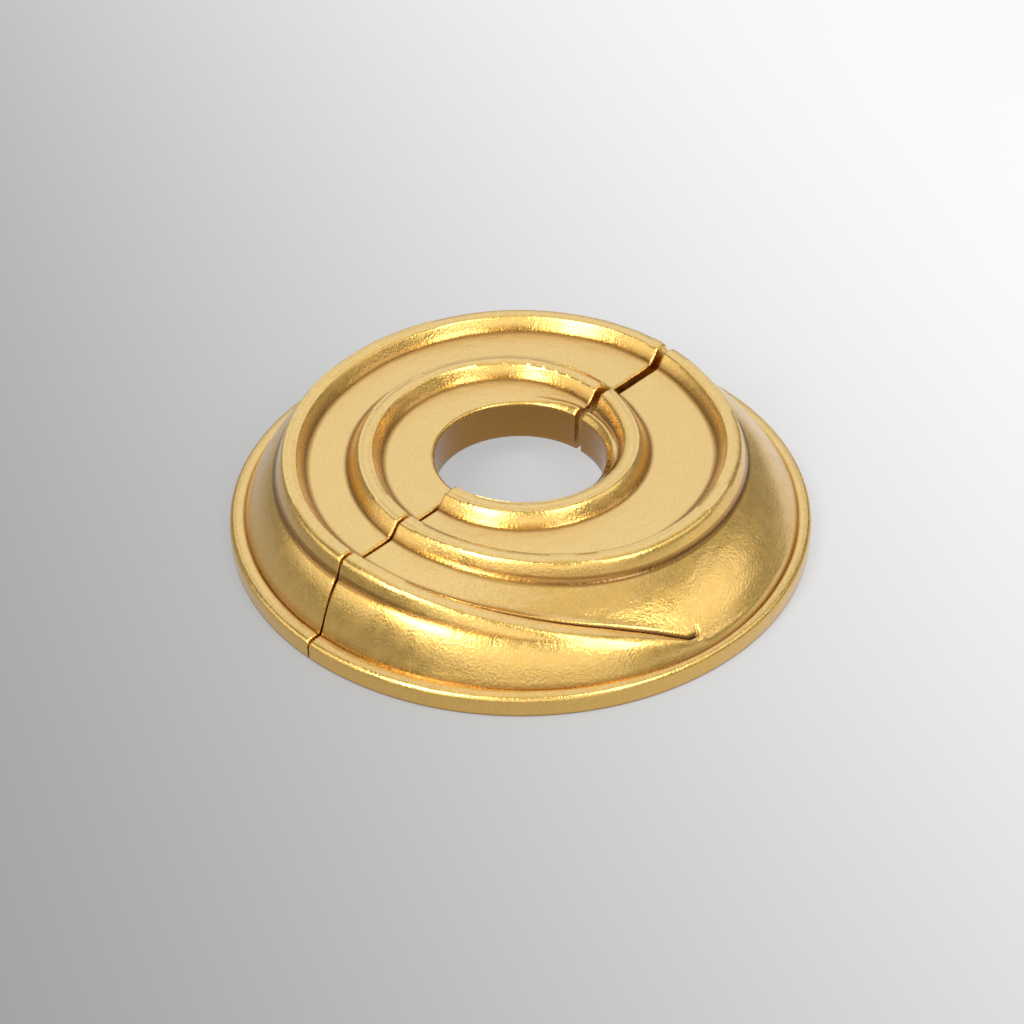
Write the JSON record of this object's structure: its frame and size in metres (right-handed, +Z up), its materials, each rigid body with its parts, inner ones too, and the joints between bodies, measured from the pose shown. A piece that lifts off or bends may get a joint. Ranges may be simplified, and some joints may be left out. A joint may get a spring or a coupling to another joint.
{
  "type": "radiator pipe collar",
  "caption": "Round split collar that closes round a radiator pipe at the floor, cast with a ridge that winds outward over its top.",
  "frame": {"origin": "on the pipe's axis, in the plane of the floor that the rim rests on", "axes": "+Z up along the pipe, X along the seam, +Y towards the half that carries the pins"},
  "size_m": [0.119, 0.119, 0.0198],
  "materials": {
    "gilt_casting": "bright gilt over a slightly rough casting",
    "pin_steel": "plain drawn wire"
  },
  "bodies": {
    "rear": {"rear_half": "gilt_casting", "left_pin": "pin_steel", "right_pin": "pin_steel"},
    "front": {"front_half": "gilt_casting"}
  },
  "joints": [
    {"name": "front_pull", "type": "slide", "parent": "rear", "child": "front", "axis": [0, -1, 0], "range_m": [0, 0.007]}
  ]
}
